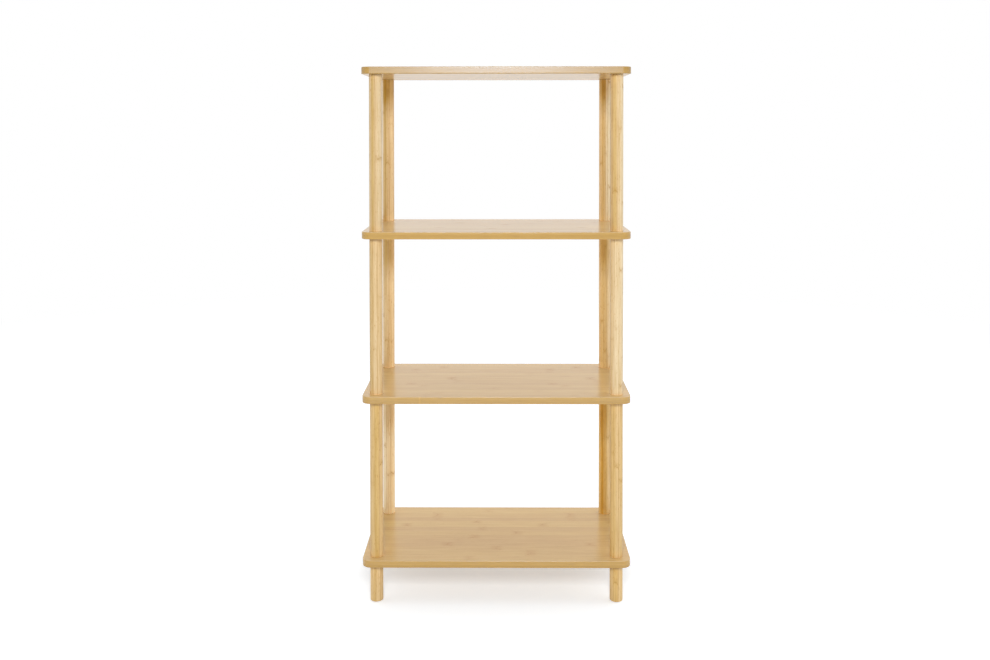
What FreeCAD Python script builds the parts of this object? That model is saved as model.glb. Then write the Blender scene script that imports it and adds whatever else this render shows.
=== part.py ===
import FreeCAD, Part
import os

# An open shelving unit: four boards on round posts in three tiers, with four short round feet.
# Millimetres, +Z up. The origin is on the floor under the middle of the unit, and -Y is the front.

# Shelf boards, measured over their edge bands
shelf_width = 600.0
shelf_depth = 300.0
board_thickness = 16.0
corner_radius = 20.0

# Edge band glued round each board, with its outer arrises rounded
band_thickness = 2.0
band_edge_radius = 1.5

# Butt seam of each band: in the middle of the back, but left of the middle of the front on the lower board
band_seam_gap = 0.2
back_seam_x = 0.0
front_seam_x = -170.0
front_seam_shelf = "lower"

# Round posts and feet, with their axes set in from the board's edges
post_diameter = 29.0
post_length = 350.5
post_inset = 30.0
post_end_radius = 0.6
foot_length = 83.5

# Push-in glides under the feet
glide_diameter = 24.0
glide_thickness = 1.0
glide_rim_radius = 0.4
glide_stem_diameter = 7.0
glide_stem_length = 14.0
glide_stem_gap = 1.0

# Headless threaded studs that join post to post through the boards
stud_diameter = 8.0
stud_engagement = 16.0
stud_end_gap = 3.0
stud_end_chamfer = 0.8
stud_socket_width = 4.0
stud_socket_depth = 4.0

# Flanged insert nuts that the studs screw into
insert_wall = 2.0
insert_length = 14.0
insert_flange_width = 1.5
insert_flange_thickness = 1.2

# Blind pockets in the underside of the top board
top_board_skin = 3.0
top_pocket_gap = 1.0

# Clearances, measured on the radius
thread_clearance = 0.1
insert_clearance = 0.05
stud_hole_clearance = 0.5
glide_clearance = 0.05

# Names, from the floor up and from corner to corner
shelf_names = ("bottom", "lower", "upper", "top")
tier_names = ("lower", "middle", "upper")
corner_signs = {
    "front_left": (-1, -1),
    "front_right": (1, -1),
    "back_left": (-1, 1),
    "back_right": (1, 1),
}

# Sizes that follow from the driving dimensions
UP = FreeCAD.Vector(0, 0, 1)
DOWN = FreeCAD.Vector(0, 0, -1)
core_width = shelf_width - 2 * band_thickness
core_depth = shelf_depth - 2 * band_thickness
core_radius = corner_radius - band_thickness
post_radius = post_diameter / 2
stud_radius = stud_diameter / 2
stud_hole_radius = stud_radius + stud_hole_clearance
insert_bore_radius = stud_radius + thread_clearance
insert_radius = insert_bore_radius + insert_wall
insert_flange_radius = insert_radius + insert_flange_width
top_pocket_depth = board_thickness - top_board_skin
top_insert_length = top_pocket_depth - top_pocket_gap
shelf_pitch = board_thickness + post_length
bottom_shelf_z = glide_thickness + foot_length
shelf_z = [bottom_shelf_z + shelf_pitch * level for level in range(len(shelf_names))]


def axis_point(corner, z):
    """The point at height z on the post axis of a corner."""
    side, front = corner_signs[corner]
    x = side * (shelf_width / 2 - post_inset)
    y = front * (shelf_depth / 2 - post_inset)
    return FreeCAD.Vector(x, y, z)


def rims(solid):
    """The closed circular edges of a turned solid."""
    return [edge for edge in solid.Edges if edge.isClosed()]


def rounded_plate(width, depth, radius, z):
    """A flat plate of board thickness with rounded corners, centred on the Z axis."""
    low_corner = FreeCAD.Vector(-width / 2, -depth / 2, z)
    box = Part.makeBox(width, depth, board_thickness, low_corner)
    uprights = [edge for edge in box.Edges if edge.BoundBox.ZLength > board_thickness / 2]
    return box.makeFillet(radius, uprights)


def board_core(z):
    """The board without its band."""
    return rounded_plate(core_width, core_depth, core_radius, z)


def through_board(z):
    """A board with a clearance hole for the stud at each corner."""
    board = board_core(z)
    for corner in corner_signs:
        board = board.cut(Part.makeCylinder(stud_hole_radius, board_thickness, axis_point(corner, z), UP))
    return board


def top_board(z):
    """The top board, whole above, with blind pockets for insert nuts in its underside."""
    board = board_core(z)
    for corner in corner_signs:
        mouth = axis_point(corner, z)
        board = board.cut(insert_pocket(mouth, UP, top_pocket_depth))
    return board


def edge_band(z, seam_x, seam_side):
    """The band round a board: a ring with rounded outer arrises, open at its seam on one side in Y."""
    outer = rounded_plate(shelf_width, shelf_depth, corner_radius, z)
    arrises = [edge for edge in outer.Edges if edge.BoundBox.ZLength < board_thickness / 2]
    ring = outer.makeFillet(min(band_edge_radius, band_thickness), arrises).cut(board_core(z))
    seam_corner = FreeCAD.Vector(seam_x - band_seam_gap / 2, min(0, seam_side * shelf_depth), z)
    return ring.cut(Part.makeBox(band_seam_gap, shelf_depth, board_thickness, seam_corner))


def insert_pocket(mouth, inward, depth):
    """The pocket for an insert nut: a recess for the flange, and the hole for the body."""
    recess = Part.makeCylinder(
        insert_flange_radius + insert_clearance, insert_flange_thickness, mouth, inward)
    hole = Part.makeCylinder(insert_radius + insert_clearance, depth, mouth, inward)
    return recess.fuse(hole)


def post_end_pocket(mouth, inward):
    """The pocket in the end of a post or foot, with a deeper relief for the end of the stud."""
    relief = Part.makeCylinder(stud_hole_radius, stud_engagement + stud_end_gap, mouth, inward)
    return insert_pocket(mouth, inward, insert_length).fuse(relief)


def insert_nut(mouth, inward, length):
    """A flanged insert nut, flush with the face at its mouth."""
    flange = Part.makeCylinder(insert_flange_radius, insert_flange_thickness, mouth, inward)
    body = Part.makeCylinder(insert_radius, length, mouth, inward)
    bore = Part.makeCylinder(insert_bore_radius, length, mouth, inward)
    return flange.fuse(body).cut(bore).removeSplitter()


def rod(length, base):
    """A round rod with eased ends."""
    blank = Part.makeCylinder(post_radius, length, base, UP)
    return blank.makeFillet(post_end_radius, rims(blank))


def post(corner, z):
    """A post with a pocket for an insert nut in each end."""
    foot_end = axis_point(corner, z)
    head_end = axis_point(corner, z + post_length)
    shaft = rod(post_length, foot_end)
    return shaft.cut(post_end_pocket(foot_end, UP)).cut(post_end_pocket(head_end, DOWN))


def foot(corner):
    """A foot with an insert pocket in its top and a hole for the glide's stem below."""
    base = axis_point(corner, glide_thickness)
    head = axis_point(corner, bottom_shelf_z)
    stem_hole_radius = glide_stem_diameter / 2 + glide_clearance
    stem_hole = Part.makeCylinder(stem_hole_radius, glide_stem_length + glide_stem_gap, base, UP)
    return rod(foot_length, base).cut(post_end_pocket(head, DOWN)).cut(stem_hole)


def glide(corner):
    """A round glide that stands on the floor, with a stem up into the foot."""
    disc = Part.makeCylinder(glide_diameter / 2, glide_thickness, axis_point(corner, 0), UP)
    floor_rim = [edge for edge in rims(disc) if edge.BoundBox.ZMax < glide_thickness / 2]
    disc = disc.makeFillet(min(glide_rim_radius, glide_thickness), floor_rim)
    stem_base = axis_point(corner, glide_thickness)
    stem = Part.makeCylinder(glide_stem_diameter / 2, glide_stem_length, stem_base, UP)
    return disc.fuse(stem).removeSplitter()


def stud(base, length):
    """A headless stud with chamfered ends and a hexagon socket in its top."""
    blank = Part.makeCylinder(stud_radius, length, base, UP)
    blank = blank.makeChamfer(stud_end_chamfer, rims(blank))
    socket_base = base + UP * (length - stud_socket_depth)
    return blank.cut(hexagon_prism(socket_base, stud_socket_width, stud_socket_depth))


def hexagon_prism(base, across_flats, height):
    """A hexagonal prism, centred on its base point."""
    sides = 6
    turn = 360.0 / sides
    corner_reach = across_flats / 3 ** 0.5
    spoke = FreeCAD.Vector(corner_reach, 0, 0)
    corners = [base + FreeCAD.Rotation(UP, turn * side).multVec(spoke) for side in range(sides + 1)]
    return Part.Face(Part.makePolygon(corners)).extrude(UP * height)


def group(make_piece):
    """One piece at each corner, as a group of separate solids."""
    return Part.makeCompound([make_piece(corner) for corner in corner_signs])


nodes = {}

# Boards and their edge bands
for shelf, z in zip(shelf_names, shelf_z):
    is_top = shelf == shelf_names[-1]
    nodes[f"{shelf}_shelf_board"] = top_board(z) if is_top else through_board(z)
    front_seam = shelf == front_seam_shelf
    seam_x, seam_side = (front_seam_x, -1) if front_seam else (back_seam_x, 1)
    nodes[f"{shelf}_shelf_edge_band"] = edge_band(z, seam_x, seam_side)

# Posts, with an insert nut in each end
for tier, z in zip(tier_names, shelf_z):
    post_z = z + board_thickness
    for corner in corner_signs:
        nodes[f"{tier}_post_{corner}"] = post(corner, post_z)
    lower_nuts = group(lambda corner: insert_nut(axis_point(corner, post_z), UP, insert_length))
    upper_nuts = group(
        lambda corner: insert_nut(axis_point(corner, post_z + post_length), DOWN, insert_length))
    nodes[f"{tier}_post_insert_nuts"] = Part.makeCompound(lower_nuts.Solids + upper_nuts.Solids)

# Feet, their insert nuts and their glides
for corner in corner_signs:
    nodes[f"foot_{corner}"] = foot(corner)
    nodes[f"glide_{corner}"] = glide(corner)
nodes["foot_insert_nuts"] = group(
    lambda corner: insert_nut(axis_point(corner, bottom_shelf_z), DOWN, insert_length))

# Insert nuts in the underside of the top board
nodes["top_shelf_insert_nuts"] = group(
    lambda corner: insert_nut(axis_point(corner, shelf_z[-1]), UP, top_insert_length))

# Studs: long ones through the lower boards, short ones up into the top board
for shelf, z in zip(shelf_names, shelf_z):
    is_top = shelf == shelf_names[-1]
    reach_above = top_insert_length if is_top else board_thickness + stud_engagement
    stud_length = stud_engagement + reach_above
    nodes[f"{shelf}_shelf_studs"] = group(
        lambda corner: stud(axis_point(corner, z - stud_engagement), stud_length))

os.makedirs("parts", exist_ok=True)
for name, shape in nodes.items():
    shape.exportStep(f"parts/{name}.step")
    print(name, len(shape.Solids), "solids, volume", round(shape.Volume, 1), "valid", shape.isValid())
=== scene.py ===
import math

import bpy
import numpy as np
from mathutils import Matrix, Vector


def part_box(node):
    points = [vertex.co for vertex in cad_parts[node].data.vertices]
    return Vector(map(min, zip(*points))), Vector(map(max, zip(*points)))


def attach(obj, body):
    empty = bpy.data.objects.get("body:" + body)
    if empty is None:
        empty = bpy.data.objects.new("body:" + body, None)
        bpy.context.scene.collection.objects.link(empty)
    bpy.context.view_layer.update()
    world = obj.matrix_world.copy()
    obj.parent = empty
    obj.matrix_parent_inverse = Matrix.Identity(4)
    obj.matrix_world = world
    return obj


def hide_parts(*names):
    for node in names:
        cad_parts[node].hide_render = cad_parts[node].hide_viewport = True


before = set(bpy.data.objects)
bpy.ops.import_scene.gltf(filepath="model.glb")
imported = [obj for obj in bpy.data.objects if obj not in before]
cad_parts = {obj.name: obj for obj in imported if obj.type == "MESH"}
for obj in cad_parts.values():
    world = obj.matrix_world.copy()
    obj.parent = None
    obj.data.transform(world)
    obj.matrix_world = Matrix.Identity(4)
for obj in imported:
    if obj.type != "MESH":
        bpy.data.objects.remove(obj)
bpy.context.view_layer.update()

# Names of the shelves and tiers from the floor up, of the corners, and of the one body
SHELVES = ("bottom", "lower", "upper", "top")
TIERS = ("lower", "middle", "upper")
CORNERS = ("front_left", "front_right", "back_left", "back_right")
BODY = "root"

# Sizes in metres that the frame's boxes don't give
CORNER_RADIUS = 0.020
BAND_THICKNESS = 0.002
BAND_ARRIS = 0.0015
SEAM_GAP = 0.0002
SEAM_WEAR = 0.0025
ROD_ARRIS = 0.0006
FLAT_MARGIN = 0.0003
STUD_RELIEF_RADIUS = 0.0045
STUD_RELIEF_DEPTH = 0.019
INSERT_POCKET_RADIUS = 0.00615
INSERT_POCKET_DEPTH = 0.014
FLANGE_RECESS_RADIUS = 0.00765
FLANGE_RECESS_DEPTH = 0.0012
STEM_HOLE_RADIUS = 0.00355
STEM_HOLE_DEPTH = 0.015
STUD_RADIUS = 0.004
STUD_CHAMFER = 0.0008
STUD_PITCH = 0.00125
STUD_THREAD = 0.0006
SOCKET_WIDTH = 0.004
SOCKET_DEPTH = 0.004
NUT_BORE_RADIUS = 0.0041
NUT_RADIUS = 0.0061
NUT_LENGTH = 0.014
TOP_NUT_LENGTH = 0.012
NUT_PITCH = 0.0025
NUT_THREAD = 0.0005
FLANGE_RADIUS = 0.0076
FLANGE_THICKNESS = 0.0012
GLIDE_THICKNESS = 0.001
GLIDE_RIM = 0.0004
STEM_RADIUS = 0.0035
BARB_PITCH = 0.0035
BARB_DEPTH = 0.0004

# How finely curved surfaces are divided
ROD_SEGMENTS = 72
SCREW_SEGMENTS = 24
THREAD_STEPS = 6
SHADE_STEPS = 9
BASE_STEPS = 4
ARRIS_STEPS = 6
CORNER_STEPS = 24
FLOOR_SEGMENTS = 96
SMOOTH_ANGLE = math.radians(40)

WHITE = (1.0, 1.0, 1.0)

# Height over which a post's painted shade, under the board above it, eases out
SHADE_EASE = 0.055

# Height of a post's base that is painted lighter, the painted light there, and the further painted light
# on its lower arris, against the shade where the post meets the board
BASE_REACH = 0.022
BASE_PAINTED_LIGHT = 0.13
RIM_PAINTED_LIGHT = 0.4

# Paleness and brightness of a rod's far side, and where it begins behind the axis as a share of the radius
PLAIN_TIMBER = (0.10, 0.06)
FAR_SIDE = 0.6

# Ranges of a rod's own grain: its turn in radians, and how far it is moved across and along
GRAIN_TURN = (-0.5, 0.5)
GRAIN_SIDESTEP = (0.0, 0.005)
GRAIN_RISE = (0.0, 0.3)
GRAIN_SEED = 7

rng = np.random.default_rng(GRAIN_SEED)


# Surfaces

def grid_faces(rows, columns, wrap_rows=False, wrap_columns=False):
    """Corner numbers of the quads of a grid; a wrapped direction joins its last line to its first."""
    row = np.arange(rows if wrap_rows else rows - 1)[:, None]
    column = np.arange(columns if wrap_columns else columns - 1)[None, :]
    next_row = (row + 1) % rows
    next_column = (column + 1) % columns
    corners = [row * columns + column, row * columns + next_column,
               next_row * columns + next_column, next_row * columns + column]
    return np.stack([np.broadcast_to(c, (row.size, column.size)) for c in corners], -1).reshape(-1, 4)


def quarter_arc(centre, radius, start, turn):
    """Points on a quarter circle: centre plus radius times cosine and sine of an angle from start."""
    angle = math.radians(start) + math.radians(turn) * np.linspace(0, 1, ARRIS_STEPS + 1)
    return np.column_stack([centre[0] + radius * np.cos(angle), centre[1] + radius * np.sin(angle)])


def ring_angles(segments):
    """Evenly spaced angles round a ring."""
    return np.linspace(0, 2 * math.pi, segments, endpoint=False)


def ringed_surface(radius, height, axis, closed=False):
    """Rings round an upright axis: x and y are the axis plus radius times cosine and sine of the angle,
    with one row of radius and height to a ring. A closed surface joins its last ring to its first.
    Otherwise flat faces close the first and last rings."""
    rows, segments = radius.shape
    angle = ring_angles(segments)
    x = axis[0] + radius * np.cos(angle)
    y = axis[1] + radius * np.sin(angle)
    points = np.stack([x, y, np.broadcast_to(height, x.shape)], -1).reshape(-1, 3)
    rings = np.arange(len(points)).reshape(rows, segments)
    quads = grid_faces(rows, segments, wrap_rows=closed, wrap_columns=True)
    ends = np.stack([rings[0][::-1], rings[-1]])[:0 if closed else 2]
    return points, quads, ends


def turned_surface(profile, axis):
    """A profile of (radius, height) rows carried round an upright axis, with flat ends."""
    return ringed_surface(np.repeat(profile[:, :1], ROD_SEGMENTS, 1), profile[:, 1:], axis)


def at_each_corner(shells, spread):
    """Closed surfaces on one upright axis, repeated at the unit's four corners: each copy's points are
    moved by plus or minus the spread in x and y, and its corner numbers by the points before it."""
    sides = np.array([(-1, -1), (1, -1), (-1, 1), (1, 1)])
    moves = np.column_stack([sides * spread, np.zeros(len(sides))])
    copies = []
    faces = []
    count = 0
    for points, quads, ends in shells:
        for move in moves:
            copies.append(points + move)
            faces += (quads + count).tolist() + (ends + count).tolist()
            count += len(points)
    return np.vstack(copies), faces


def make_piece(name, points, faces, material, slot, *nodes, grain=None, timber=(0.0, 0.0)):
    """One closed mesh in place of CAD nodes, with smooth round faces. A timber piece has its grain's
    coordinates, its paleness and its brightness as attributes."""
    mesh = bpy.data.meshes.new(name)
    mesh.from_pydata(points.tolist(), [], faces)
    mesh.polygons.foreach_set("use_smooth", np.ones(len(mesh.polygons), bool))
    mesh.set_sharp_from_angle(angle=SMOOTH_ANGLE)
    if grain is not None:
        space = mesh.attributes.new("grain", "FLOAT_VECTOR", "POINT")
        space.data.foreach_set("vector", grain.astype(np.float32).ravel())
        for label, amount in zip(("paleness", "brightness"), timber):
            shade = mesh.attributes.new(label, "FLOAT", "POINT")
            shade.data.foreach_set("value", np.broadcast_to(amount, len(points)).astype(np.float32))
    mesh.materials.append(material)
    piece = bpy.data.objects.new(name, mesh)
    bpy.context.scene.collection.objects.link(piece)
    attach(piece, BODY)
    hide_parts(*nodes)


# Node helpers

def feed(tree, socket, value):
    """Links an output to a socket, or sets the socket to a plain value."""
    if isinstance(value, bpy.types.NodeSocket):
        tree.links.new(value, socket)
    else:
        socket.default_value = value


def add_node(tree, kind, inputs=(), **settings):
    """A new node with its settings, and its inputs fed by name or number."""
    made = tree.nodes.new(kind)
    for key, value in settings.items():
        setattr(made, key, value)
    for key, value in dict(inputs).items():
        feed(tree, made.inputs[key], value)
    return made


def maths(tree, operation, *values):
    """The output of a Math node."""
    return add_node(tree, "ShaderNodeMath", dict(enumerate(values)), operation=operation).outputs[0]


def ramp_value(tree, value, low, high, low_out, high_out):
    """A value eased from one range to another."""
    made = add_node(tree, "ShaderNodeMapRange", {0: value, 1: low, 2: high, 3: low_out, 4: high_out},
                    interpolation_type="SMOOTHSTEP")
    return made.outputs[0]


def blend_colour(tree, share, first, second, blend_type="MIX"):
    """Two colours mixed by a share."""
    made = add_node(tree, "ShaderNodeMix", {0: share, 6: first, 7: second},
                    data_type="RGBA", blend_type=blend_type)
    return made.outputs[2]


def noise(tree, vector, scale, detail=2.0, roughness=0.5, distortion=0.0):
    """The value of a noise texture, from 0 to 1."""
    made = add_node(tree, "ShaderNodeTexNoise", {
        "Vector": vector, "Scale": scale, "Detail": detail, "Roughness": roughness,
        "Distortion": distortion})
    return made.outputs[0]


def vector_of(tree, x, y, z):
    """Three values as one vector."""
    return add_node(tree, "ShaderNodeCombineXYZ", {0: x, 1: y, 2: z}).outputs[0]


def new_group(name, inputs, outputs):
    """An empty shader node group with float sockets, and its input and output nodes."""
    group = bpy.data.node_groups.new(name, "ShaderNodeTree")
    for label, value in inputs:
        socket = group.interface.new_socket(label, in_out="INPUT", socket_type="NodeSocketFloat")
        socket.default_value = value
    for label in outputs:
        group.interface.new_socket(label, in_out="OUTPUT", socket_type="NodeSocketFloat")
    return group, group.nodes.new("NodeGroupInput").outputs, group.nodes.new("NodeGroupOutput").inputs


def strip_chances(group, number):
    """Three random values for a strip's number."""
    chance = add_node(group, "ShaderNodeTexWhiteNoise", {"W": number}, noise_dimensions="1D")
    return add_node(group, "ShaderNodeSeparateColor", {0: chance.outputs["Color"]}).outputs


# Uneven widths of strips, as a pace and a reach in strip widths
UNEVEN_PACE = 0.4
UNEVEN_REACH = 1.2

# Share of a strip over which its tone eases into the next one's, and the drift of tone along it
TONE_EASE = (0.85, 1.0)
DRIFT_PACE = 6.0
DRIFT_GAIN = 0.6
DRIFT_OFFSET = -0.3

# Node marks: spread of their stagger in spacings, and the bow and ruffle of a node's line
STAGGER_SPREAD = 9.0
NODE_BOW = 2.0
RUFFLE_SCALE = 3.0
RUFFLE_GAIN = 1.2
RUFFLE_OFFSET = -0.6

# Distances from a node, in node lengths, over which its line and its halo fade
NODE_LINE_FADE = (0.02, 0.2)
NODE_HALO_FADE = (0.1, 0.7)

# Ranges of ruffle and of chance that bring a node's mark from its faintest to its full strength
NODE_RUFFLES = (0.35, 0.6)
NODE_CHANCES = (0.1, 0.9)
FAINTEST_MARK = 0.3

# Pace of fibres and flecks along the grain as a share of that across it, and the noise that is a fleck
FIBRE_STRETCH = 0.03
FLECK_STRETCH = 0.2
FLECK_SCALE = 1.3
FLECK_RANGE = (0.62, 0.75)


def fibre_place(group, given, stretch):
    """A place in the timber measured in fibre widths, with its length along the grain times a stretch."""
    fine = maths(group, "DIVIDE", 1.0, given["Fibre Width"])
    return vector_of(group, maths(group, "MULTIPLY", given["Across"], fine),
                     maths(group, "MULTIPLY", given["Depth"], fine),
                     maths(group, "MULTIPLY", given["Along"], maths(group, "MULTIPLY", fine, stretch)))


def bamboo_group():
    """Bamboo strips glued side by side. A strip is a whole number on a count of widths across, which a
    slow noise stretches so that widths differ. Each strip has its own tone, which eases into the next
    one's, thin glue lines at its edges, bowed node lines at its own stagger, long fine fibres and short
    dark flecks."""
    group, given, put = new_group(
        "bamboo_strips",
        [("Across", 0.0), ("Along", 0.0), ("Depth", 0.0), ("Strip Width", 0.01), ("Node Spacing", 0.3),
         ("Node Length", 0.015), ("Node Halo", 0.4), ("Seam Width", 0.0006), ("Fibre Width", 0.001)],
        ["Tone", "Seam", "Node", "Fibre", "Fleck"])
    widths = maths(group, "DIVIDE", given["Across"], given["Strip Width"])
    wander_place = vector_of(group, maths(group, "MULTIPLY", widths, UNEVEN_PACE), 0.0, 0.0)
    strip = maths(group, "MULTIPLY_ADD", noise(group, wander_place, 1.0, detail=0.0), UNEVEN_REACH, widths)
    number = maths(group, "FLOOR", strip)
    share = maths(group, "FRACT", strip)
    own = strip_chances(group, number)
    following = strip_chances(group, maths(group, "ADD", number, 1.0))

    crossing = ramp_value(group, share, *TONE_EASE, 0.0, 1.0)
    step = maths(group, "SUBTRACT", following[0], own[0])
    tone = maths(group, "MULTIPLY_ADD", crossing, step, own[0])
    drift_place = vector_of(group, strip, 0.0, maths(group, "MULTIPLY", given["Along"], DRIFT_PACE))
    drift = maths(group, "MULTIPLY_ADD", noise(group, drift_place, 1.0, detail=1.0), DRIFT_GAIN,
                  DRIFT_OFFSET)
    feed(group, put["Tone"], maths(group, "ADD", tone, drift))

    off_centre = maths(group, "ABSOLUTE", maths(group, "SUBTRACT", share, 0.5))
    edge = maths(group, "MULTIPLY", maths(group, "SUBTRACT", 0.5, off_centre), given["Strip Width"])
    feed(group, put["Seam"], ramp_value(group, edge, 0.0, given["Seam Width"], 1.0, 0.0))

    stagger = maths(group, "ADD", maths(group, "DIVIDE", given["Along"], given["Node Spacing"]),
                    maths(group, "MULTIPLY", own[1], STAGGER_SPREAD))
    from_node = maths(group, "MULTIPLY", maths(group, "SUBTRACT", maths(group, "FRACT", stagger), 0.5),
                      maths(group, "DIVIDE", given["Node Spacing"], given["Node Length"]))
    ruffle_place = vector_of(group, given["Across"], given["Depth"], given["Along"])
    ruffle = noise(group, ruffle_place, maths(group, "DIVIDE", RUFFLE_SCALE, given["Strip Width"]),
                   detail=3.0, roughness=0.6, distortion=0.8)
    way = maths(group, "SIGN", maths(group, "SUBTRACT", own[1], 0.5))
    bow = maths(group, "MULTIPLY", maths(group, "POWER", off_centre, 2.0),
                maths(group, "MULTIPLY", way, NODE_BOW))
    bowed = maths(group, "ADD", maths(group, "SUBTRACT", from_node, bow),
                  maths(group, "MULTIPLY_ADD", ruffle, RUFFLE_GAIN, RUFFLE_OFFSET))
    line = ramp_value(group, maths(group, "ABSOLUTE", bowed), *NODE_LINE_FADE, 1.0, 0.0)
    halo = ramp_value(group, maths(group, "ABSOLUTE", from_node), *NODE_HALO_FADE, given["Node Halo"], 0.0)
    broken = ramp_value(group, ruffle, *NODE_RUFFLES, FAINTEST_MARK, 1.0)
    mark = maths(group, "MAXIMUM", maths(group, "MULTIPLY", line, broken), halo)
    strength = ramp_value(group, own[2], *NODE_CHANCES, FAINTEST_MARK, 1.0)
    feed(group, put["Node"], maths(group, "MULTIPLY", mark, strength))

    along_fibres = fibre_place(group, given, FIBRE_STRETCH)
    feed(group, put["Fibre"], noise(group, along_fibres, 1.0, detail=3.0, roughness=0.65))
    fleck = noise(group, fibre_place(group, given, FLECK_STRETCH), FLECK_SCALE, detail=1.0)
    feed(group, put["Fleck"], ramp_value(group, fleck, *FLECK_RANGE, 0.0, 1.0))
    return group


def new_material(name):
    """A material with its node tree and its shader."""
    material = bpy.data.materials.new(name)
    material.use_nodes = True
    return material, material.node_tree, material.node_tree.nodes["Principled BSDF"]


# A little more than the height from one shelf to the next
SHELF_STEP = 0.367


def board_axes(tree):
    """Across, along and depth of the boards' grain: Object y, x and z, with y moved on by whole metres
    from one shelf to the next so that each board has its own strips."""
    place = add_node(tree, "ShaderNodeTexCoord").outputs["Object"]
    x, y, z = add_node(tree, "ShaderNodeSeparateXYZ", {0: place}).outputs
    level = maths(tree, "FLOOR", maths(tree, "DIVIDE", z, SHELF_STEP))
    return maths(tree, "ADD", y, level), x, z


def grain_axes(tree):
    """Across, along and depth of a piece's own grain, from its attribute."""
    place = add_node(tree, "ShaderNodeAttribute", attribute_name="grain").outputs["Vector"]
    across, depth, along = add_node(tree, "ShaderNodeSeparateXYZ", {0: place}).outputs
    return across, along, depth


# Ranges of fibre over which dark streaks, pale streaks and roughness grow
DARK_FIBRE = (0.48, 0.7)
PALE_FIBRE = (0.3, 0.52)
ROUGH_FIBRE = (0.2, 0.8)

# Relief of fibres as a share of a glue line's, and the depth of both
FIBRE_RELIEF = 0.3
TIMBER_RELIEF = 0.00008

# Upward share of a surface's direction over which an arris takes a painted colour: a painted highlight on
# the bands, and painted shade with darker end grain at the posts' tops
ARRIS_RISE = (0.15, 0.7)


def bamboo_material(name, group, axes, look):
    """Bamboo: strip tones on a ramp of colours, then streaks of fibre, flecks, glue lines, node marks and
    the painted colour of the upper arris (a highlight on the bands, shade on the posts), all times the
    piece's brightness, which carries painted light and shade as well as its own tone."""
    material, tree, shader = new_material(name)
    across, along, depth = axes(tree)
    strips = add_node(tree, "ShaderNodeGroup", node_tree=group)
    for key, value in (("Across", across), ("Along", along), ("Depth", depth), *look["strips"].items()):
        feed(tree, strips.inputs[key], value)
    paleness = add_node(tree, "ShaderNodeAttribute", attribute_name="paleness").outputs["Fac"]
    tone = maths(tree, "MULTIPLY_ADD", strips.outputs["Tone"], look["spread"], 0.5 - 0.5 * look["spread"])
    ramp = add_node(tree, "ShaderNodeValToRGB", {0: maths(tree, "ADD", tone, paleness)})
    stops = ramp.color_ramp.elements
    for index, (position, colour) in enumerate(look["tones"]):
        stop = stops[index] if index < 2 else stops.new(position)
        stop.position = position
        stop.color = (*colour, 1.0)
    dark_streak = ramp_value(tree, strips.outputs["Fibre"], *DARK_FIBRE, 0.0, look["fibre"])
    pale_streak = ramp_value(tree, strips.outputs["Fibre"], *PALE_FIBRE, look["fibre"], 0.0)
    flecks = maths(tree, "MULTIPLY", strips.outputs["Fleck"], look["fleck"])
    glue_line = maths(tree, "MULTIPLY", strips.outputs["Seam"], look["seam"])
    colour = ramp.outputs[0]
    for share, gain in ((dark_streak, "fibre_gain"), (pale_streak, "pale_fibre_gain"),
                        (flecks, "fleck_gain"), (glue_line, "seam_gain")):
        colour = blend_colour(tree, share, colour, (*look[gain], 1.0), "MULTIPLY")
    colour = blend_colour(tree, maths(tree, "MULTIPLY", strips.outputs["Node"], look["node"]), colour,
                          (*look["node_colour"], 1.0))
    shader.inputs["IOR"].default_value = look["ior"]
    shader.inputs["Specular IOR Level"].default_value = look["specular"]
    shader.inputs["Specular Tint"].default_value = (*look.get("gloss", WHITE), 1.0)
    # The upper arris is painted: lighter on the bands as a painted highlight, darker on the posts as
    # painted shade of the gap under the board, with darker end grain
    if "arris_highlight_and_shade_colour" in look:
        facing = add_node(tree, "ShaderNodeNewGeometry").outputs["Normal"]
        upward = add_node(tree, "ShaderNodeSeparateXYZ", {0: facing}).outputs[2]
        colour = blend_colour(tree, ramp_value(tree, upward, *ARRIS_RISE, 0.0, look["arris"]), colour,
                              (*look["arris_highlight_and_shade_colour"], 1.0))
    brightness = add_node(tree, "ShaderNodeAttribute", attribute_name="brightness").outputs["Fac"]
    gain = maths(tree, "ADD", brightness, 1.0)
    colour = blend_colour(tree, 1.0, colour, vector_of(tree, gain, gain, gain), "MULTIPLY")
    feed(tree, shader.inputs["Base Color"], colour)
    feed(tree, shader.inputs["Roughness"],
         ramp_value(tree, strips.outputs["Fibre"], *ROUGH_FIBRE, *look["roughness"]))
    height = maths(tree, "SUBTRACT", maths(tree, "MULTIPLY", strips.outputs["Fibre"], FIBRE_RELIEF),
                   strips.outputs["Seam"])
    bump = add_node(tree, "ShaderNodeBump",
                    {"Strength": look["bump"], "Distance": TIMBER_RELIEF, "Height": height})
    feed(tree, shader.inputs["Normal"], bump.outputs[0])
    return material


# Ranges of blotch and speck over which tone and roughness change, and the strength and depth of specks
BLOTCH_RANGE = (0.35, 0.65)
SPECK_RANGE = (0.3, 0.7)
SPECK_BUMP = 0.3
SPECK_RELIEF = 0.00003


def speckle_group():
    """Slow blotches and fine specks of noise, each from 0 to 1, at sizes of their own."""
    group, given, put = new_group(
        "speckle",
        [("X", 0.0), ("Y", 0.0), ("Z", 0.0), ("Blotch Size", 0.004), ("Speck Size", 0.0004)],
        ["Blotch", "Speck"])
    place = vector_of(group, given["X"], given["Y"], given["Z"])
    for size, made in (("Blotch Size", "Blotch"), ("Speck Size", "Speck")):
        scale = maths(group, "DIVIDE", 1.0, given[size])
        feed(group, put[made], noise(group, place, scale, detail=2.0, roughness=0.6))
    return group


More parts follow.
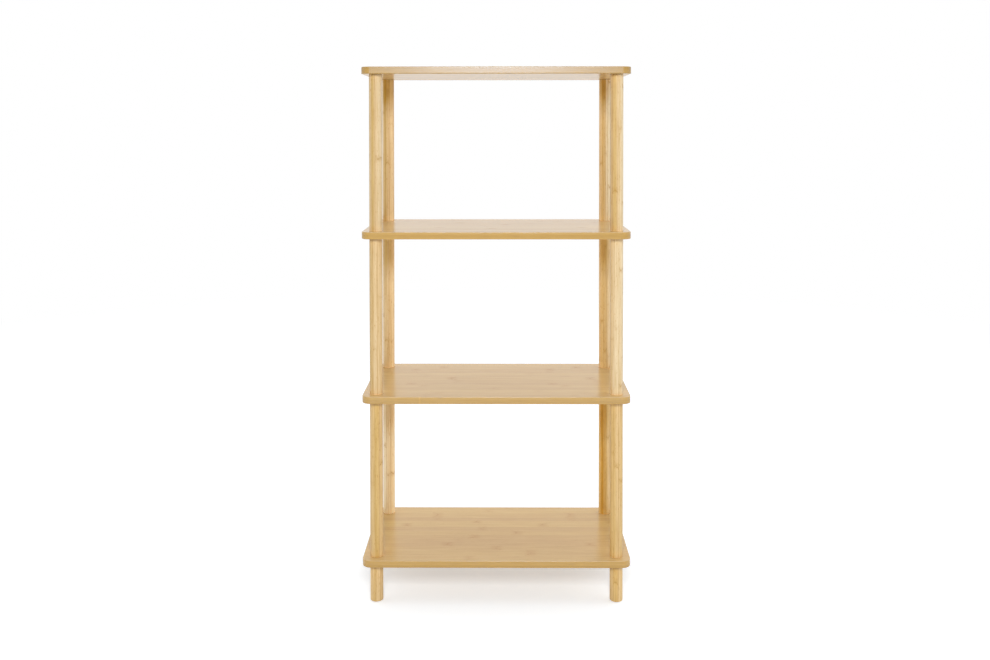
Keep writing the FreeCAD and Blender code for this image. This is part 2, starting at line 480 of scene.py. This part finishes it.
def hardware_material(name, group, look):
    """Plated metal or moulded plastic: two tones in blotches, and specks in its roughness and bump."""
    material, tree, shader = new_material(name)
    speckle = add_node(tree, "ShaderNodeGroup", look["sizes"], node_tree=group)
    place = add_node(tree, "ShaderNodeTexCoord").outputs["Object"]
    for axis, value in zip("XYZ", add_node(tree, "ShaderNodeSeparateXYZ", {0: place}).outputs):
        feed(tree, speckle.inputs[axis], value)
    share = ramp_value(tree, speckle.outputs["Blotch"], *BLOTCH_RANGE, 0.0, 1.0)
    feed(tree, shader.inputs["Base Color"],
         blend_colour(tree, share, (*look["tones"][0], 1.0), (*look["tones"][1], 1.0)))
    feed(tree, shader.inputs["Roughness"],
         ramp_value(tree, speckle.outputs["Speck"], *SPECK_RANGE, *look["roughness"]))
    shader.inputs["Metallic"].default_value = look["metallic"]
    bump = add_node(tree, "ShaderNodeBump",
                    {"Strength": SPECK_BUMP, "Distance": SPECK_RELIEF, "Height": speckle.outputs["Speck"]})
    feed(tree, shader.inputs["Normal"], bump.outputs[0])
    return material


# Sizes read from the frame

def middle_and_span(node):
    """The upright axis, lowest and highest height and radius of a round node."""
    low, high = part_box(node)
    axis = ((low.x + high.x) / 2, (low.y + high.y) / 2)
    return axis, low.z, high.z, (high.x - low.x) / 2


# Turned pieces

def pocket_profile(mouth, inward):
    """The stepped pocket in a rod's end, from its blind end out to its mouth."""
    steps = [(STUD_RELIEF_RADIUS, STUD_RELIEF_DEPTH), (STUD_RELIEF_RADIUS, INSERT_POCKET_DEPTH),
             (INSERT_POCKET_RADIUS, INSERT_POCKET_DEPTH), (INSERT_POCKET_RADIUS, FLANGE_RECESS_DEPTH),
             (FLANGE_RECESS_RADIUS, FLANGE_RECESS_DEPTH), (FLANGE_RECESS_RADIUS, 0.0)]
    return np.array([(radius, mouth + inward * depth) for radius, depth in steps])


def stem_hole_profile(mouth):
    """The plain hole for a glide's stem, from its blind end out to its mouth."""
    return np.array([(STEM_HOLE_RADIUS, mouth + STEM_HOLE_DEPTH), (STEM_HOLE_RADIUS, mouth)])


def rod_profile(low, high, radius, lower_pocket, rings):
    """A rod with eased ends: lower pocket, quarter arc, straight side with rings at given heights and near
    its ends, quarter arc, upper pocket."""
    inner = radius - ROD_ARRIS
    bottom = quarter_arc((inner, low + ROD_ARRIS), ROD_ARRIS, -90, 90)
    top = quarter_arc((inner, high - ROD_ARRIS), ROD_ARRIS, 0, 90)
    margin = ROD_ARRIS + FLAT_MARGIN
    heights = np.concatenate([[low + margin], rings, [high - margin]])
    side = np.column_stack([np.full(len(heights), radius), heights])
    return np.vstack([lower_pocket, bottom, side, top, pocket_profile(high, -1)[::-1]])


def strip_paleness(share, strips):
    """The paleness of the strip that each point lies in. Strips are rows of a left edge, as a share of
    the radius, and a paleness."""
    edges, paleness = np.array(strips).T
    return paleness[np.maximum(np.searchsorted(edges, share, side="right") - 1, 0)]


def eased(share):
    """A share held between 0 and 1, and eased: three times its square less twice its cube."""
    held = np.clip(share, 0, 1)
    return held ** 2 * (3 - 2 * held)


def make_rod(node, order, lower_pocket_of, material, strips, brightness, shade, base_painted_lights):
    """A post or foot, with its fine grain turned to an angle and a place in the timber of its own. Its
    painted shade is a reach down from its top, a deeper tint and a lift in brightness, and its base has
    painted light, and further painted light on its arris. These and its own tones ease into plain timber
    round its far side."""
    axis, low, high, radius = middle_and_span(node)
    reach, painted_shade_tint, lift = shade
    base_rings = low + BASE_REACH * np.linspace(0, 1, BASE_STEPS + 1)[1:]
    shade_rings = high - reach + SHADE_EASE * np.linspace(0, 1, SHADE_STEPS)
    rings = np.concatenate([base_rings, shade_rings])
    profile = rod_profile(low, high, radius, lower_pocket_of(low), rings)
    points, quads, ends = turned_surface(profile, axis)
    turn = rng.uniform(*GRAIN_TURN)
    x, y = points[:, 0] - axis[0], points[:, 1] - axis[1]
    across = x * math.cos(turn) + y * math.sin(turn) + rng.uniform(*GRAIN_SIDESTEP) + order
    depth = y * math.cos(turn) - x * math.sin(turn)
    along = points[:, 2] + rng.uniform(*GRAIN_RISE) + GRAIN_MOVES.get(node, 0.0)
    # Painted shade: the tint and lift grow towards the top of the rod, under the board above
    shaded = eased((points[:, 2] - high + reach) / SHADE_EASE)
    above = points[:, 2] - low
    # Painted light at the post's base and on its lower arris
    base = base_painted_lights[0] * eased(1 - above / BASE_REACH) + base_painted_lights[1] * (above < ROD_ARRIS)
    own = np.stack([strip_paleness(x / radius, strips) + painted_shade_tint * shaded,
                    brightness + lift * shaded + base])
    plain = np.array(PLAIN_TIMBER)[:, None]
    timber = own + (plain - own) * eased(y / radius / FAR_SIDE)
    make_piece(f"{node}_bamboo", points, quads.tolist() + ends.tolist(), material, "bamboo_post", node,
               grain=np.column_stack([across, depth, along]), timber=timber)


# Screws, nuts and glides

def zigzag(height, angle, pitch):
    """Depth of a screw thread below its crest, from 0 to 1: height over pitch less the share of a turn,
    folded at the middle of each turn."""
    share = (height / pitch - angle / (2 * math.pi)) % 1.0
    return np.abs(2 * share - 1)


def stud_surface(low, high):
    """A stud: its radius less the thread's depth, held inside a cone at each end, and a hexagon socket of
    half its width over the cosine of the angle from the middle of each flat."""
    angle = ring_angles(SCREW_SEGMENTS)
    rings = round((high - low) / STUD_PITCH * THREAD_STEPS) + 1
    height = np.linspace(low, high, rings)[:, None]
    from_end = np.minimum(height - low, high - height)
    cone = STUD_RADIUS - STUD_CHAMFER + np.minimum(from_end, STUD_CHAMFER)
    shank = np.minimum(STUD_RADIUS - STUD_THREAD * zigzag(height, angle, STUD_PITCH), cone)
    flat = math.pi / 3
    socket = SOCKET_WIDTH / 2 / np.cos(angle % flat - flat / 2)
    radius = np.vstack([shank, socket, socket])
    heights = np.vstack([height, [[high]], [[high - SOCKET_DEPTH]]])
    return ringed_surface(radius, heights, (0.0, 0.0))


def nut_surface(mouth, inward, length):
    """An insert nut: its flange, its body less the depth of a coarse outer thread, and its plain bore, in
    rings from the mouth along the outside and back along the bore."""
    angle = ring_angles(SCREW_SEGMENTS)
    rings = round((length - FLANGE_THICKNESS) / NUT_PITCH * THREAD_STEPS) + 1
    depth = np.linspace(FLANGE_THICKNESS, length, rings)[:, None]
    body = NUT_RADIUS - NUT_THREAD * zigzag(depth, angle, NUT_PITCH)
    ring = np.ones((2, SCREW_SEGMENTS))
    radius = np.vstack([FLANGE_RADIUS * ring, body, NUT_BORE_RADIUS * ring])
    depths = np.vstack([[[0.0], [FLANGE_THICKNESS]], depth, [[length], [0.0]]])
    upwards = slice(None, None, inward)
    return ringed_surface(radius[upwards], mouth + inward * depths[upwards], (0.0, 0.0), closed=True)


def make_studs(shelf, material):
    """The four studs through a board."""
    node = f"{shelf}_shelf_studs"
    low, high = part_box(node)
    spread = (high.x - STUD_RADIUS, high.y - STUD_RADIUS)
    points, faces = at_each_corner([stud_surface(low.z, high.z)], spread)
    make_piece(f"{shelf}_shelf_threaded_studs", points, faces, material, "stud_steel", node)


def make_nuts(node, lower_length, upper_length, material):
    """The insert nuts of a tier: those that open downwards, and those that open upwards."""
    low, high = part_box(node)
    spread = (high.x - FLANGE_RADIUS, high.y - FLANGE_RADIUS)
    shells = [nut_surface(low.z, 1, lower_length)] if lower_length else []
    shells += [nut_surface(high.z, -1, upper_length)] if upper_length else []
    points, faces = at_each_corner(shells, spread)
    make_piece(f"{node}_threaded", points, faces, material, "insert_zinc", node)


def make_glide(corner, material):
    """A glide: a disc with a rounded floor rim, and a stem that narrows by a barb's depth along each
    barb."""
    node = f"glide_{corner}"
    axis, low, high, radius = middle_and_span(node)
    rim = quarter_arc((radius - GLIDE_RIM, low + GLIDE_RIM), GLIDE_RIM, -90, 90)
    base = low + GLIDE_THICKNESS
    height = np.linspace(base, high, SCREW_SEGMENTS)
    stem = np.column_stack([STEM_RADIUS - BARB_DEPTH * ((height - base) / BARB_PITCH % 1.0), height])
    points, quads, ends = turned_surface(np.vstack([rim, [(radius, base)], stem]), axis)
    make_piece(f"{node}_moulded", points, quads.tolist() + ends.tolist(), material, "glide_plastic", node)


# Edge bands

def band_path(low, high, seam):
    """The outline of a board as points, outward directions and lengths, from one side of the seam round
    to the other: straight sides joined by quarter circles of the corner radius, with a point a little
    before and after each."""
    half = np.array([(high.x - low.x) / 2, (high.y - low.y) / 2])
    inner = half - CORNER_RADIUS
    turn = np.linspace(0, math.pi / 2, CORNER_STEPS + 1)
    turn = np.concatenate([turn[:1], turn, turn[-1:]])
    slide = np.zeros_like(turn)
    slide[[0, -1]] = -FLAT_MARGIN, FLAT_MARGIN
    corner_centres = np.array([(1, -1), (1, 1), (-1, 1), (-1, -1)]) * inner
    angles = (np.array([-math.pi / 2, 0, math.pi / 2, math.pi])[:, None] + turn).ravel()
    outward = np.column_stack([np.cos(angles), np.sin(angles)])
    forward = np.column_stack([-np.sin(angles), np.cos(angles)])
    points = (np.repeat(corner_centres, len(turn), 0) + CORNER_RADIUS * outward
              + np.tile(slide, len(corner_centres))[:, None] * forward)
    side, place = seam
    if side == "back":
        half_way = 2 * len(turn)
        outward = np.roll(outward, -half_way, 0)
        points = np.roll(points, -half_way, 0)
    face = -1 if side == "front" else 1
    from_seam = SEAM_GAP / 2 + np.array([0.0, SEAM_WEAR])
    edge = np.full(2, face * half[1])
    start = np.column_stack([place - face * from_seam, edge])
    end = np.column_stack([place + face * from_seam[::-1], edge])
    facing = np.array([(0.0, face)] * 2)
    points = np.vstack([start, points, end])
    outward = np.vstack([facing, outward, facing])
    step = np.linalg.norm(np.diff(points, axis=0), axis=1)
    return points, outward, np.concatenate([[0.0], np.cumsum(step)])


def band_profile(thickness):
    """The band's closed section as (outward, height): flat inside and outside, with both outer arrises
    rounded."""
    lower = quarter_arc((-BAND_ARRIS, BAND_ARRIS), BAND_ARRIS, -90, 90)
    upper = quarter_arc((-BAND_ARRIS, thickness - BAND_ARRIS), BAND_ARRIS, 0, 90)
    margin = BAND_ARRIS + FLAT_MARGIN
    face = [(0.0, margin), (0.0, thickness - margin)]
    return np.vstack([[(-BAND_THICKNESS, 0.0)], lower, face, upper, [(-BAND_THICKNESS, thickness)]])


def make_band(shelf, order, seam, material, timber):
    """The band's section carried along the board's outline, with flat ends at the seam."""
    node = f"{shelf}_shelf_edge_band"
    low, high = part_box(node)
    path, outward, run = band_path(low, high, seam)
    section = band_profile(high.z - low.z)
    flat = path[:, None, :] + outward[:, None, :] * section[None, :, :1]
    height = np.broadcast_to(low.z + section[:, 1], flat.shape[:2])
    points = np.dstack([flat, height]).reshape(-1, 3)
    rows, columns = flat.shape[:2]
    ends = np.arange(rows * columns).reshape(rows, columns)[[0, -1]]
    faces = grid_faces(rows, columns, wrap_columns=True)[:, ::-1].tolist()
    faces += [ends[0].tolist(), ends[1][::-1].tolist()]
    girth = np.concatenate([[0.0], np.cumsum(np.linalg.norm(np.diff(section, axis=0), axis=1))])
    across = np.broadcast_to(girth + order, flat.shape[:2]).ravel()
    along = np.broadcast_to(run[:, None] + order, flat.shape[:2]).ravel()
    brightness = np.full((rows, columns), timber[1])
    brightness[[0, -1]] += SEAM_BRIGHTNESS
    make_piece(f"{shelf}_shelf_edge_strip", points, faces, material, "bamboo_edge", node,
               grain=np.column_stack([across, np.zeros_like(across), along]),
               timber=(timber[0], brightness.ravel()))


# Finishes

BOARD_LOOK = {
    "strips": {"Strip Width": 0.021, "Node Spacing": 0.33, "Node Length": 0.026, "Node Halo": 0.4,
               "Seam Width": 0.0016, "Fibre Width": 0.0022},
    "spread": 1.0,
    "tones": [(0.0, (0.60, 0.395, 0.17)), (1.0, (0.66, 0.455, 0.19))],
    "fibre": 0.5, "fibre_gain": (0.86, 0.82, 0.80), "pale_fibre_gain": (1.11, 1.18, 1.30),
    "fleck": 0.3, "fleck_gain": (0.80, 0.70, 0.55),
    "seam": 0.35, "seam_gain": (1.11, 1.19, 1.28),
    "node": 0.65, "node_colour": (0.47, 0.245, 0.07),
    "roughness": (0.19, 0.26), "ior": 1.5, "specular": 0.5, "bump": 0.25,
}
EDGE_LOOK = {
    "strips": {"Strip Width": 0.005, "Node Spacing": 0.45, "Node Length": 0.02, "Node Halo": 0.4,
               "Seam Width": 0.0005, "Fibre Width": 0.0018},
    "spread": 1.0,
    "tones": [(0.0, (0.497, 0.284, 0.047)), (1.0, (0.572, 0.339, 0.070))],
    "fibre": 0.55, "fibre_gain": (0.85, 0.80, 0.69), "pale_fibre_gain": (1.11, 1.15, 1.37),
    "fleck": 0.4, "fleck_gain": (0.85, 0.78, 0.65),
    "seam": 0.2, "seam_gain": (0.85, 0.80, 0.80),
    "node": 0.35, "node_colour": (0.40, 0.23, 0.07),
    # The bands' upper arris: a painted highlight
    "arris": 0.5, "arris_highlight_and_shade_colour": (0.72, 0.55, 0.30),
    "roughness": (0.245, 0.265), "ior": 1.57, "specular": 0.74, "gloss": (0.58, 0.76, 1.0), "bump": 0.03,
}
POST_LOOK = {
    "strips": {"Strip Width": 0.0095, "Node Spacing": 0.26, "Node Length": 0.014, "Node Halo": 0.25,
               "Seam Width": 0.0011, "Fibre Width": 0.0022},
    "spread": 0.3,
    "tones": [(0.0, (0.53, 0.285, 0.045)), (1.0, (0.83, 0.665, 0.415)), (0.3, (0.65, 0.435, 0.16)),
              (0.5, (0.70, 0.49, 0.232)), (0.7, (0.745, 0.54, 0.285))],
    "fibre": 0.75, "fibre_gain": (0.84, 0.77, 0.62), "pale_fibre_gain": (1.12, 1.18, 1.30),
    "fleck": 0.7, "fleck_gain": (0.78, 0.64, 0.44),
    "seam": 0.55, "seam_gain": (0.72, 0.58, 0.40),
    "node": 0.95, "node_colour": (0.47, 0.25, 0.05),
    # The posts' upper ends: painted shade of the gap under the board above, with darker end grain
    "arris": 0.95, "arris_highlight_and_shade_colour": (0.10, 0.042, 0.010),
    "roughness": (0.39, 0.46), "ior": 1.5, "specular": 0.2, "bump": 0.2,
}

NUT_LOOK = {
    "sizes": {"Blotch Size": 0.003, "Speck Size": 0.0003},
    "tones": [(0.56, 0.56, 0.53), (0.68, 0.68, 0.67)], "roughness": (0.28, 0.45), "metallic": 1.0,
}
STUD_LOOK = {
    "sizes": {"Blotch Size": 0.006, "Speck Size": 0.0003},
    "tones": [(0.50, 0.50, 0.52), (0.60, 0.60, 0.60)], "roughness": (0.25, 0.40), "metallic": 1.0,
}
GLIDE_LOOK = {
    "sizes": {"Blotch Size": 0.005, "Speck Size": 0.0004},
    "tones": [(0.20, 0.12, 0.065), (0.25, 0.15, 0.08)], "roughness": (0.50, 0.65), "metallic": 0.0,
}

strips_group = bamboo_group()
board_finish = bamboo_material("bamboo_board", strips_group, board_axes, BOARD_LOOK)
edge_finish = bamboo_material("bamboo_edge", strips_group, grain_axes, EDGE_LOOK)
post_finish = bamboo_material("bamboo_post", strips_group, grain_axes, POST_LOOK)
speckles = speckle_group()
nut_finish = hardware_material("insert_zinc", speckles, NUT_LOOK)
stud_finish = hardware_material("stud_steel", speckles, STUD_LOOK)
glide_finish = hardware_material("glide_plastic", speckles, GLIDE_LOOK)

for shelf in SHELVES:
    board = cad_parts[f"{shelf}_shelf_board"]
    board.data.materials.clear()
    board.data.materials.append(board_finish)

# Side and place in x of each band's seam, and how much brighter the band is there
BACK_SEAM = ("back", 0.0)
SEAMS = {"bottom": BACK_SEAM, "lower": ("front", -0.170), "upper": BACK_SEAM, "top": BACK_SEAM}
SEAM_BRIGHTNESS = 0.2

# Paleness and brightness of each band
BAND_TIMBER = {"bottom": (-0.15, 0.10), "lower": (0.0, 0.0), "upper": (0.2, -0.02), "top": (-0.2, -0.13)}

for order, shelf in enumerate(SHELVES):
    make_band(shelf, order, SEAMS[shelf], edge_finish, BAND_TIMBER[shelf])

# Strips of each post from the left, as their left edges and paleness, then its brightness, which is partly
# the post's own tone and partly painted light, higher on the back posts that the lamp lights less
POST_TIMBER = {
    "upper_post_front_left": (((-1.0, 0.32), (-0.5, -0.04), (-0.2, 0.12), (0.42, 0.32)), -0.10),
    "upper_post_front_right": (((-1.0, 0.15), (-0.65, -0.05), (-0.15, 0.25), (0.48, 0.76)), -0.045),
    "upper_post_back_left": (((-1.0, 0.35), (-0.6, -0.14), (-0.2, 0.14), (0.5, 0.22)), 0.16),
    "upper_post_back_right": (
        ((-1.0, 0.30), (-0.7, 0.10), (-0.5, -0.12), (0.05, 0.62), (0.5, 0.80)), 0.14),
    "middle_post_front_left": (((-1.0, -0.14), (-0.4, 0.01), (-0.1, 0.11), (0.4, 0.15)), -0.04),
    "middle_post_front_right": (((-1.0, 0.25), (-0.7, 0.41), (0.6, 0.52)), -0.02),
    "middle_post_back_left": (
        ((-1.0, 0.45), (-0.6, 0.10), (-0.15, 0.25), (0.15, 0.05), (0.6, 0.22)), 0.20),
    "middle_post_back_right": (((-1.0, 0.18), (-0.7, 0.02), (0.5, 0.17)), 0.20),
    "lower_post_front_left": (((-1.0, -0.03), (-0.6, -0.16), (-0.1, -0.12), (0.4, -0.06)), 0.03),
    "lower_post_front_right": (((-1.0, -0.18), (-0.45, -0.05), (-0.2, 0.07), (0.5, -0.01)), 0.065),
    "lower_post_back_left": (((-1.0, 0.50), (-0.3, 0.45), (0.1, 0.50), (0.7, 0.60)), 0.22),
    "lower_post_back_right": (
        ((-1.0, -0.28), (-0.75, -0.50), (-0.3, -0.34), (0.2, -0.10), (0.45, -0.02)), 0.26),
}

# The same for the feet, whose brightness is likewise partly painted light
FOOT_TIMBER = {
    "front_left": (((-1.0, 0.03), (-0.3, -0.07), (0.3, 0.03)), 0.15),
    "front_right": (((-1.0, -0.03), (0.2, -0.10)), 0.17),
    "back_left": (((-1.0, 0.05), (0.1, 0.0)), 0.10),
    "back_right": (((-1.0, 0.0), (-0.2, 0.08)), 0.10),
}

# How far down the grain of a post is moved, for its node marks to sit where the picture has them
GRAIN_MOVES = {
    "upper_post_front_left": 0.112,
    "middle_post_front_right": -0.123,
    "middle_post_back_left": 0.025,
    "lower_post_front_left": -0.046,
    "lower_post_front_right": 0.057,
    "lower_post_back_left": -0.030,
}

# Painted shade of a back post under the board above, as its reach, a deeper warmer tint and a lift in
# brightness, and that of the other rods, with no tint or lift
POST_PAINTED_SHADES = {
    "upper_post_back_left": (0.086, -0.44, 0.09),
    "upper_post_back_right": (0.083, -0.38, 0.10),
    "middle_post_back_left": (0.127, -0.33, 0.10),
    "middle_post_back_right": (0.123, -0.22, 0.16),
    "lower_post_back_left": (0.165, -0.25, 0.12),
    "lower_post_back_right": (0.165, -0.10, 0.18),
}
NO_PAINTED_SHADE = (0.06, 0.0, 0.0)
NO_PAINTED_LIGHTS = (0.0, 0.0)

# Numbers of the first post and the first foot, each of which moves its grain by whole metres
FIRST_POST = 1
FIRST_FOOT = 20

for tier_order, tier in enumerate(TIERS):
    for corner_order, corner in enumerate(CORNERS):
        post = f"{tier}_post_{corner}"
        order = FIRST_POST + tier_order * len(CORNERS) + corner_order
        make_rod(post, order, lambda low: pocket_profile(low, 1), post_finish, *POST_TIMBER[post],
                 POST_PAINTED_SHADES.get(post, NO_PAINTED_SHADE), (BASE_PAINTED_LIGHT, RIM_PAINTED_LIGHT))
for order, corner in enumerate(CORNERS, FIRST_FOOT):
    make_rod(f"foot_{corner}", order, stem_hole_profile, post_finish, *FOOT_TIMBER[corner], NO_PAINTED_SHADE,
             NO_PAINTED_LIGHTS)

for shelf in SHELVES:
    make_studs(shelf, stud_finish)
for tier in TIERS:
    make_nuts(f"{tier}_post_insert_nuts", NUT_LENGTH, NUT_LENGTH, nut_finish)
make_nuts("foot_insert_nuts", 0.0, NUT_LENGTH, nut_finish)
make_nuts("top_shelf_insert_nuts", TOP_NUT_LENGTH, 0.0, nut_finish)
for corner in CORNERS:
    make_glide(corner, glide_finish)


# Stage: a white floor that keeps the object's shadow, and a white surround

def seen_directly(tree):
    """1 for rays from the camera, and for those that a gloss or glass sends on."""
    path = add_node(tree, "ShaderNodeLightPath").outputs
    mirrored = maths(tree, "MAXIMUM", path["Is Glossy Ray"], path["Is Transmission Ray"])
    return maths(tree, "MAXIMUM", path["Is Camera Ray"], mirrored)


def white_if_seen(tree, glow):
    """Plain white where it is seen directly, and otherwise the light it gives."""
    seen = seen_directly(tree)
    share = maths(tree, "MULTIPLY", glow, maths(tree, "SUBTRACT", 1.0, seen))
    return maths(tree, "ADD", seen, share)


# Floor: its rings, the colour that it lights the unit with, and the colour and lift that are seen
FLOOR_RINGS = (0.4, 1.0, 2.5, 12.0)
FLOOR_COLOUR = (0.85, 0.87, 0.90, 1.0)
SEEN_FLOOR_COLOUR = (0.74, 0.79, 0.83, 1.0)
SEEN_FLOOR_LIFT = (0.395, 0.39, 0.40, 1.0)

# Distances from the middle over which the lift grows by a gain, and the floor fades into the surround
OPEN_FLOOR = (0.4, 0.9)
OPEN_FLOOR_GAIN = 1.3
FLOOR_FADE = (1.8, 4.0)

# Light from the far floor and the surround, the ranges in y over which it grows, and its gain to the right
FAR_FLOOR_RANGE = (-3.0, -0.5)
FAR_FLOOR_LIGHT = 0.3
SURROUND_RANGE = (-0.6, 0.0)
FRONT_LIGHT = 0.08
BACK_LIGHT = 1.1
RIGHT_GAIN = 0.2


def make_floor():
    """A round floor: rings of points at radius times cosine and sine of an angle. It keeps the shadow near
    the unit, and fades into plain white."""
    rings = np.array(FLOOR_RINGS)
    angle = ring_angles(FLOOR_SEGMENTS)
    flat = rings[:, None, None] * np.stack([np.cos(angle), np.sin(angle)], -1)
    points = np.dstack([flat, np.zeros(flat.shape[:2])]).reshape(-1, 3)
    faces = grid_faces(len(rings), len(angle), wrap_columns=True)[:, ::-1].tolist()
    faces.append(list(range(len(angle))))
    mesh = bpy.data.meshes.new("floor")
    mesh.from_pydata(points.tolist(), [], faces)
    floor = bpy.data.objects.new("floor", mesh)
    bpy.context.scene.collection.objects.link(floor)

    material, tree, shader = new_material("white_floor")
    tree.nodes.remove(shader)
    seen = seen_directly(tree)
    colour = blend_colour(tree, seen, FLOOR_COLOUR, SEEN_FLOOR_COLOUR)
    paper = add_node(tree, "ShaderNodeBsdfDiffuse", {"Color": colour}).outputs[0]
    place = add_node(tree, "ShaderNodeTexCoord").outputs["Object"]
    reach = add_node(tree, "ShaderNodeVectorMath", {0: place}, operation="LENGTH").outputs["Value"]
    open_gain = ramp_value(tree, reach, *OPEN_FLOOR, 1.0, OPEN_FLOOR_GAIN)
    lift = add_node(tree, "ShaderNodeEmission",
                    {"Color": SEEN_FLOOR_LIFT, "Strength": maths(tree, "MULTIPLY", seen, open_gain)})
    near = add_node(tree, "ShaderNodeAddShader", {0: paper, 1: lift.outputs[0]}).outputs[0]
    rear = add_node(tree, "ShaderNodeSeparateXYZ", {0: place}).outputs[1]
    glow = ramp_value(tree, rear, *FAR_FLOOR_RANGE, FAR_FLOOR_LIGHT, BACK_LIGHT)
    far = add_node(tree, "ShaderNodeEmission", {"Strength": white_if_seen(tree, glow)}).outputs[0]
    fade = ramp_value(tree, reach, *FLOOR_FADE, 0.0, 1.0)
    surface = add_node(tree, "ShaderNodeMixShader", {0: fade, 1: near, 2: far}).outputs[0]
    feed(tree, tree.nodes["Material Output"].inputs["Surface"], surface)
    mesh.materials.append(material)


def make_surround():
    """A surround that shows as plain white, and lights the unit more from behind than from the front."""
    world = bpy.data.worlds.new("white_surround")
    world.use_nodes = True
    bpy.context.scene.world = world
    tree = world.node_tree
    way = add_node(tree, "ShaderNodeTexCoord").outputs["Generated"]
    axes = add_node(tree, "ShaderNodeSeparateXYZ", {0: way}).outputs
    glow = maths(tree, "MULTIPLY", ramp_value(tree, axes[1], *SURROUND_RANGE, FRONT_LIGHT, BACK_LIGHT),
                 maths(tree, "MULTIPLY_ADD", axes[0], RIGHT_GAIN, 1.0))
    feed(tree, tree.nodes["Background"].inputs["Color"], (*WHITE, 1.0))
    feed(tree, tree.nodes["Background"].inputs["Strength"], white_if_seen(tree, glow))


# Key lamp, in metres and watts
KEY_PLACE = (0.0, -2.52, 1.78)
KEY_AIM = (0.0, 0.0, 0.65)
KEY_SIZE = (0.82, 0.65)
KEY_POWER = 47.6


def make_key():
    """A soft box in front of the unit, above the camera, with its beam towards the unit's middle."""
    lamp = bpy.data.lights.new("key", "AREA")
    lamp.shape = "RECTANGLE"
    lamp.size, lamp.size_y = KEY_SIZE
    lamp.energy = KEY_POWER
    key = bpy.data.objects.new("key", lamp)
    bpy.context.scene.collection.objects.link(key)
    beam = Vector(KEY_AIM) - Vector(KEY_PLACE)
    key.location = KEY_PLACE
    key.rotation_euler = beam.to_track_quat("-Z", "Y").to_euler()


# Camera fitted to the photographed edges, in metres, radians and pixels, and its sensor in millimetres
PHOTO_WIDTH = 990
CAMERA_PLACE = (0.0092, -2.2439, 1.0662)
CAMERA_PITCH = 0.0181
CAMERA_ROLL = 0.0007
CAMERA_YAW = 0.0055
FOCAL_PIXELS = 948.7
AXIS_RISE_PIXELS = 185.8
SENSOR_WIDTH = 36.0


def make_camera():
    """A nearly level camera, with its lens axis above the picture's middle as the upright posts ask."""
    lens = bpy.data.cameras.new("camera")
    lens.sensor_width = SENSOR_WIDTH
    lens.lens = FOCAL_PIXELS / PHOTO_WIDTH * SENSOR_WIDTH
    lens.shift_y = -AXIS_RISE_PIXELS / PHOTO_WIDTH
    camera = bpy.data.objects.new("camera", lens)
    bpy.context.scene.collection.objects.link(camera)
    camera.location = CAMERA_PLACE
    camera.rotation_euler = (math.pi / 2 - CAMERA_PITCH, CAMERA_ROLL, CAMERA_YAW)
    bpy.context.scene.camera = camera


make_floor()
make_surround()
make_key()
make_camera()
bpy.context.scene.view_settings.view_transform = "Standard"
